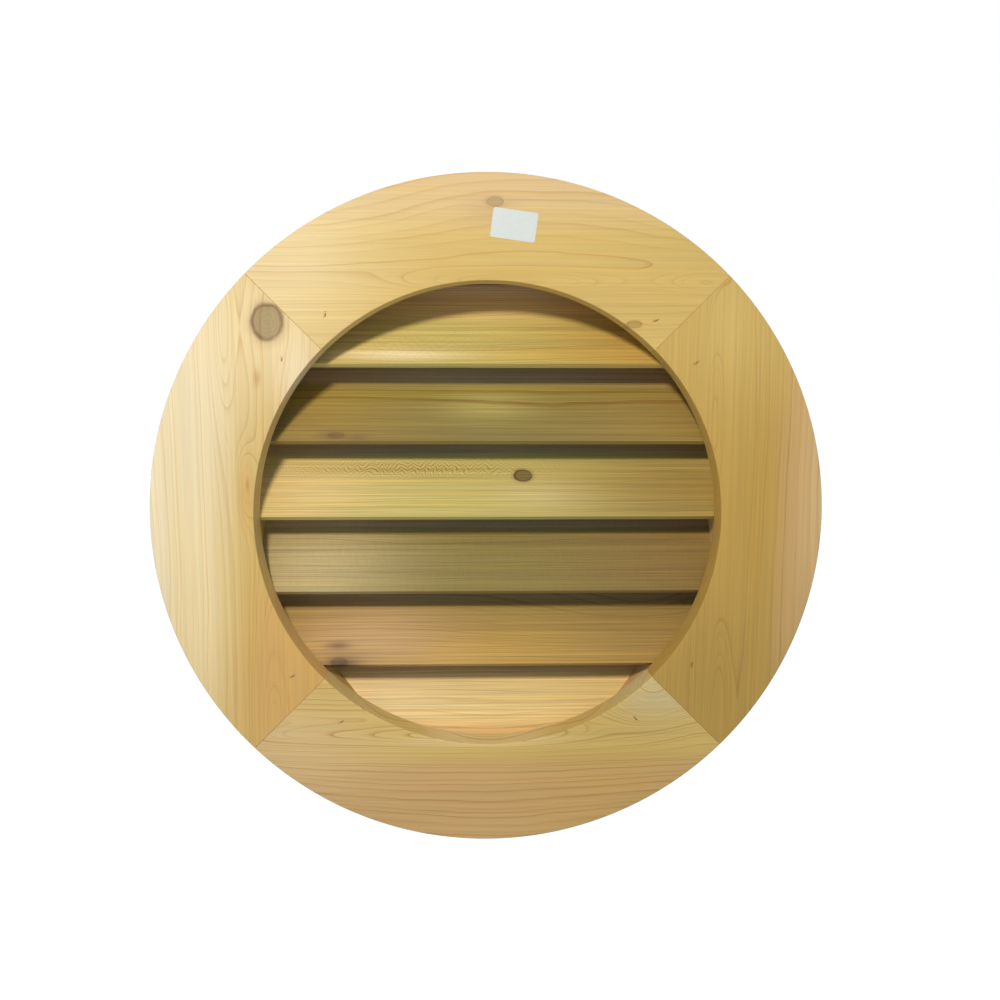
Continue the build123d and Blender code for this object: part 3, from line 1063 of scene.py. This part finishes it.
def build_staples():
    """A staple of round wire on every point, its crown rounded into its two legs."""
    inputs = [
        ("Crown", NUMBER), ("Leg", NUMBER), ("Wire", NUMBER), ("Sides", WHOLE_NUMBER), ("Material", MATERIAL),
    ]
    tree, given, result = new_geometry_tree("Staples", inputs)
    radius = maths(tree, "MULTIPLY", given["Wire"], 0.5)
    reach = maths(tree, "SUBTRACT", maths(tree, "MULTIPLY", given["Crown"], 0.5), radius)
    depth = maths(tree, "MULTIPLY", given["Leg"], -1.0)
    under = maths(tree, "MULTIPLY", radius, -1.0)
    back = maths(tree, "MULTIPLY", reach, -1.0)
    corners = [(back, depth), (back, under), (reach, under), (reach, depth)]
    outline = add_node(tree, "GeometryNodeCurvePrimitiveQuadrilateral", {"mode": "POINTS"})
    for number, (x, z) in enumerate(corners, start=1):
        point = add_node(tree, "ShaderNodeCombineXYZ", X=x, Z=z).outputs[0]
        feed(tree, point, outline.inputs[f"Point {number}"])
    path = add_node(tree, "GeometryNodeSetSplineCyclic", Geometry=outline.outputs[0], Cyclic=False).outputs[0]
    rounded = {"Curve": path, "Count": BEND_STEPS, "Radius": given["Wire"]}
    path = add_node(tree, "GeometryNodeFilletCurve", {"mode": "POLY"}, **rounded).outputs[0]
    shape = wire_mesh(tree, path, radius, given["Sides"])
    finish_tree(tree, placed_at_points(tree, given["Geometry"], shape), given["Material"], result)
    return tree


def build_brads():
    """A brad of round wire on every point, with no head."""
    inputs = [("Length", NUMBER), ("Wire", NUMBER), ("Sides", WHOLE_NUMBER), ("Material", MATERIAL)]
    tree, given, result = new_geometry_tree("Brads", inputs)
    depth = maths(tree, "MULTIPLY", given["Length"], -1.0)
    start = add_node(tree, "ShaderNodeCombineXYZ", Z=depth).outputs[0]
    line = add_node(tree, "GeometryNodeCurvePrimitiveLine", Start=start, End=(0.0, 0.0, 0.0)).outputs[0]
    shape = wire_mesh(tree, line, maths(tree, "MULTIPLY", given["Wire"], BRAD_SHARE / 2), given["Sides"])
    finish_tree(tree, placed_at_points(tree, given["Geometry"], shape), given["Material"], result)
    return tree


# How close to the outermost point of a brad the points of its head lie
HEAD_REACH = 3 * MM


def brad_places(node):
    """A point on each brad's head, and the length of the last brad."""
    points = []
    for island in solids_of(node):
        middle = sum(island, Vector()) / len(island)
        tip = max(island, key=lambda point: hypot(point.x, point.z))
        head = [point for point in island if (point - tip).length < HEAD_REACH]
        top = sum(head, Vector()) / len(head)
        points.append((top, (top - middle).normalized(), (0, 1, 0)))
    return points, 2 * (top - middle).length


class VENT_OT_fasteners(bpy.types.Operator):
    """Make the staples and brads that hold the vent together"""

    bl_idname = "vent.fasteners"
    bl_label = "Staples and Brads"

    def execute(self, context):
        sizes = context.scene.gable_vent.fasteners
        steel = metal_material("Galvanised wire", sizes.steel, 0.5)
        staples, brads = build_staples(), build_brads()
        jobs = []
        for node, outward, leg, wire in (
            ("face_staples", FACE_OUTWARD, sizes.face_leg, sizes.face_wire),
            ("screen_staples", BACK_OUTWARD, sizes.screen_leg, sizes.screen_wire),
        ):
            crowns = [crown_of(island, outward) for island in solids_of(node)]
            points = [(middle, outward, across) for middle, across, _ in crowns]
            jobs.append((node, staples, points, {"Crown": crowns[0][2], "Leg": leg, "Wire": wire}))
        for node in ("corner_brads", "louvre_brads"):
            points, length = brad_places(node)
            jobs.append((node, brads, points, {"Length": length, "Wire": sizes.brad_wire}))

        for node, tree, points, values in jobs:
            values = {**values, "Sides": sizes.wire_sides, "Material": steel}
            mesh = run_tree(f"steel_{node}", points_mesh(node, points), tree, values)
            finish_mesh(mesh)
            new_piece(f"steel_{node}", mesh, steel, [node])
        return {"FINISHED"}


# Few sides, since the wires are thin and many
CLOTH_WIRE_SIDES = 3


def wires_one_way(tree, given, own_axis, other_axis, first_over):
    """Wires along one axis and in rows along the other, each going over and under those it crosses."""
    count = maths(tree, "MULTIPLY_ADD", given["Half Count"], 2.0, 1.0)
    reach = maths(tree, "MULTIPLY", given["Half Count"], given["Pitch"])
    back = maths(tree, "MULTIPLY", reach, -1.0)
    first, last = (
        add_node(tree, "ShaderNodeCombineXYZ", **{own_axis: value}).outputs[0] for value in (back, reach)
    )
    begin, step = (
        add_node(tree, "ShaderNodeCombineXYZ", **{other_axis: value}).outputs[0]
        for value in (back, given["Pitch"])
    )
    wire = add_node(tree, "GeometryNodeCurvePrimitiveLine", Start=first, End=last).outputs[0]
    wire = add_node(tree, "GeometryNodeResampleCurve", Curve=wire, Count=count).outputs[0]
    rows = {"Count": count, "Start_Location": begin, "Offset": step}
    rows = add_node(tree, "GeometryNodeMeshLine", **rows).outputs[0]
    wires = add_node(tree, "GeometryNodeInstanceOnPoints", Points=rows, Instance=wire).outputs[0]
    wires = add_node(tree, "GeometryNodeRealizeInstances", Geometry=wires).outputs[0]

    # Over one wire and under the next
    place = add_node(tree, "GeometryNodeInputPosition").outputs[0]
    parts = add_node(tree, "ShaderNodeSeparateXYZ", Vector=place).outputs
    crossing = maths(tree, "ADD", parts["X"], parts["Z"])
    number = maths(tree, "ROUND", maths(tree, "DIVIDE", crossing, given["Pitch"]))
    odd = maths(tree, "PINGPONG", maths(tree, "ADD", number, first_over), 1.0)
    lift = maths(tree, "MULTIPLY", maths(tree, "SUBTRACT", odd, 0.5), given["Wire"])
    offset = add_node(tree, "ShaderNodeCombineXYZ", Y=maths(tree, "ADD", lift, given["Height"])).outputs[0]
    wires = add_node(tree, "GeometryNodeSetPosition", Geometry=wires, Offset=offset).outputs[0]

    # Cut to the eight sides
    width = maths(tree, "ABSOLUTE", parts["X"])
    height = maths(tree, "ABSOLUTE", parts["Z"])
    square = maths(tree, "GREATER_THAN", maths(tree, "MAXIMUM", width, height), given["Square Reach"])
    corner = maths(tree, "DIVIDE", maths(tree, "ADD", width, height), sqrt(2))
    outside = maths(tree, "MAXIMUM", square, maths(tree, "GREATER_THAN", corner, given["Diagonal Reach"]))
    wires = add_node(tree, "GeometryNodeDeleteGeometry", Geometry=wires, Selection=outside).outputs[0]
    return wire_mesh(tree, wires, maths(tree, "MULTIPLY", given["Wire"], 0.5), CLOTH_WIRE_SIDES)


def build_wire_cloth():
    """Wires both ways, each going over and under the others, cut to the eight-sided outline."""
    inputs = [
        ("Pitch", NUMBER), ("Wire", NUMBER), ("Half Count", WHOLE_NUMBER), ("Height", NUMBER),
        ("Square Reach", NUMBER), ("Diagonal Reach", NUMBER), ("Material", MATERIAL),
    ]
    tree, given, result = new_geometry_tree("Wire cloth", inputs)
    both = add_node(tree, "GeometryNodeJoinGeometry")
    for family in (wires_one_way(tree, given, "X", "Z", 0.0), wires_one_way(tree, given, "Z", "X", 1.0)):
        tree.links.new(family, both.inputs[0])
    finish_tree(tree, both.outputs[0], given["Material"], result)
    return tree


class VENT_OT_wire_cloth(bpy.types.Operator):
    """Weave the wire cloth over the back of the body"""

    bl_idname = "vent.wire_cloth"
    bl_label = "Wire Cloth"

    def execute(self, context):
        cloth = context.scene.gable_vent.cloth
        metal = metal_material("Aluminium wire", cloth.metal, 0.4)
        low, high = SCREEN_BOX
        square = high.x
        diagonal = max((point.x + point.z) / sqrt(2) for point in solids_of("insect_screen")[0])
        values = {
            "Pitch": cloth.mesh_pitch, "Wire": cloth.wire, "Half Count": int(square / cloth.mesh_pitch),
            "Height": (low.y + high.y) / 2, "Square Reach": square, "Diagonal Reach": diagonal,
            "Material": metal,
        }
        seed = bpy.data.meshes.new("cloth_seed")
        mesh = run_tree("wire_cloth", seed, build_wire_cloth(), values)
        new_piece("wire_cloth", mesh, metal, ["insect_screen"])
        return {"FINISHED"}


# The label's place on the top face board, how far it is turned, and how deep it is pressed in
LABEL_MIDDLE = (21.2 * MM, 249.0 * MM)
LABEL_TURN = radians(-7.6)
LABEL_PRESS = 0.02 * MM
CORNER_STEPS = 6


def label_outline(label):
    """The label's outline, with its rounded corners, turned and in its place."""
    outline = []
    for number, (side_x, side_z) in enumerate(((1, 1), (-1, 1), (-1, -1), (1, -1))):
        for step in range(CORNER_STEPS + 1):
            turn = (number + step / CORNER_STEPS) * pi / 2
            x = side_x * (label.width / 2 - label.corner) + label.corner * cos(turn)
            z = side_z * (label.height / 2 - label.corner) + label.corner * sin(turn)
            outline.append((
                LABEL_MIDDLE[0] + x * cos(LABEL_TURN) - z * sin(LABEL_TURN),
                LABEL_MIDDLE[1] + x * sin(LABEL_TURN) + z * cos(LABEL_TURN),
            ))
    return outline


def paper_material(name, colour):
    """Thin paper, a little uneven."""
    material, tree, shader = new_material(name)
    pulp = stretched_noise(tree, object_place(tree), PAPER_PULP, 4.0)
    paper = mix(tree, smooth_step(tree, pulp, -0.3, 0.3), opaque(colour), opaque(colour, 0.93))
    feed(tree, paper, shader.inputs["Base Color"])
    feed(tree, maths(tree, "MULTIPLY_ADD", pulp, 0.2, 0.5), shader.inputs["Roughness"])
    add_bump(tree, shader, pulp, 0.1, 0.05 * MM)
    return material


class VENT_OT_label(bpy.types.Operator):
    """Stick the bare paper label to the top face board"""

    bl_idname = "vent.label"
    bl_label = "Label"

    def execute(self, context):
        label = context.scene.gable_vent.label
        made = bmesh.new()
        outline = label_outline(label)
        join_loops(made, [
            [made.verts.new((x, y, z)) for x, z in outline]
            for y in (SANDED_FRONT + LABEL_PRESS, SANDED_FRONT - label.thickness)
        ])
        mesh = closed_mesh(made, "paper_label")
        new_piece("paper_label", mesh, paper_material("Label paper", label.paper))
        return {"FINISHED"}


def seen_directly(tree):
    """1 for rays from the camera, through glass and off shiny surfaces, and 0 for those that light."""
    rays = add_node(tree, "ShaderNodeLightPath").outputs
    seen = maths(tree, "MAXIMUM", rays["Is Camera Ray"], rays["Is Transmission Ray"])
    return maths(tree, "MAXIMUM", seen, rays["Is Glossy Ray"])


def camera_turn():
    """The camera's turn, from its yaw, its pitch and its roll."""
    level_share = cos(CAMERA_PITCH)
    ahead = Vector((sin(CAMERA_YAW) * level_share, cos(CAMERA_YAW) * level_share, -sin(CAMERA_PITCH)))
    level_right = Vector((cos(CAMERA_YAW), -sin(CAMERA_YAW), 0))
    level_up = level_right.cross(ahead)
    right = level_right * cos(CAMERA_ROLL) + level_up * sin(CAMERA_ROLL)
    return Matrix((right, right.cross(ahead), -ahead)).transposed().to_4x4()


def add_camera(scene):
    """The camera that took the photograph."""
    camera = new_object("camera", bpy.data.cameras.new("camera"))
    camera.data.lens = CAMERA_LENS
    camera.matrix_world = Matrix.Translation(CAMERA_PLACE) @ camera_turn()
    scene.camera = camera


def add_key_light(stage):
    """A soft round light that fades slowly with distance."""
    lamp = bpy.data.lights.new("key", "AREA")
    lamp.use_nodes = True
    tree = lamp.node_tree
    falloff = add_node(tree, "ShaderNodeLightFalloff", Strength=1.0).outputs["Linear"]
    feed(tree, falloff, tree.nodes["Emission"].inputs["Strength"])
    lamp.color = stage.key_tint
    lamp.shape = "DISK"
    lamp.size = stage.key_size
    lamp.energy = stage.key_power
    facing = Vector(KEY_PLACE).to_track_quat("Z", "Y").to_matrix().to_4x4()
    new_object("key", lamp).matrix_world = Matrix.Translation(KEY_PLACE) @ facing


def add_ambient(scene, stage):
    """Even light all round, which looks white where it is seen directly."""
    world = bpy.data.worlds.new("studio")
    world.use_nodes = True
    scene.world = world
    tree = world.node_tree
    background = tree.nodes["Background"].inputs
    seen = seen_directly(tree)
    strength = maths(tree, "MULTIPLY_ADD", seen, 1.0 - stage.ambient, stage.ambient)
    feed(tree, strength, background["Strength"])
    feed(tree, mix(tree, seen, opaque(stage.ambient_tint), WHITE), background["Color"])


def add_floor(stage):
    """A pale floor, which makes up what it lacks of white where it is seen directly."""
    z = cad_box[0].z - stage.floor_drop
    mesh = bpy.data.meshes.new("floor")
    corners = [(x * FLOOR_REACH, y * FLOOR_REACH, z) for x, y in ((-1, -1), (1, -1), (1, 1), (-1, 1))]
    mesh.from_pydata(corners, [], [(0, 1, 2, 3)])
    material, tree, shader = new_material("Pale floor")
    shader.inputs["Base Color"].default_value = opaque(stage.floor)
    shader.inputs["Roughness"].default_value = 0.8
    shader.inputs["Specular IOR Level"].default_value = 0.0
    shader.inputs["Emission Color"].default_value = WHITE
    least_return = stage.ambient * min(stage.ambient_tint) * min(stage.floor)
    lacking = maths(tree, "MULTIPLY", seen_directly(tree), 1.0 - least_return)
    feed(tree, lacking, shader.inputs["Emission Strength"])
    paint(mesh, material)
    new_object("floor", mesh)


class VENT_OT_stage(bpy.types.Operator):
    """Set up the pale floor, the soft lights and the camera"""

    bl_idname = "vent.stage"
    bl_label = "Stage"

    def execute(self, context):
        scene = context.scene
        stage = scene.gable_vent.stage
        scene.view_settings.view_transform = "Standard"
        add_camera(scene)
        add_key_light(stage)
        add_ambient(scene, stage)
        add_floor(stage)
        return {"FINISHED"}


OPERATORS = (
    VENT_OT_face_boards, VENT_OT_louvres, VENT_OT_body_boards, VENT_OT_fasteners, VENT_OT_wire_cloth,
    VENT_OT_label, VENT_OT_stage,
)


class VENT_PT_panel(bpy.types.Panel):
    """The steps that build the vent, and its settings"""

    bl_idname = "VENT_PT_panel"
    bl_label = "Round Gable Vent"
    bl_space_type = "VIEW_3D"
    bl_region_type = "UI"
    bl_category = "Gable Vent"

    def draw(self, context):
        for operator in OPERATORS:
            self.layout.operator(operator.bl_idname)
        settings = context.scene.gable_vent
        for part in ("cedar", "face", "fasteners", "cloth", "label", "stage"):
            box = self.layout.box()
            box.label(text=part.capitalize())
            group = getattr(settings, part)
            for name in group.__annotations__:
                box.prop(group, name)


CLASSES = (
    VENT_PG_cedar, VENT_PG_face, VENT_PG_fasteners, VENT_PG_cloth, VENT_PG_label, VENT_PG_stage,
    VENT_PG_settings, *OPERATORS, VENT_PT_panel,
)


def register():
    for cls in CLASSES:
        bpy.utils.register_class(cls)
    bpy.types.Scene.gable_vent = PointerProperty(type=VENT_PG_settings)


def unregister():
    del bpy.types.Scene.gable_vent
    for cls in reversed(CLASSES):
        bpy.utils.unregister_class(cls)


def main():
    register()
    for operator in OPERATORS:
        module, name = operator.bl_idname.split(".")
        getattr(getattr(bpy.ops, module), name)()


if __name__ == "__main__":
    main()
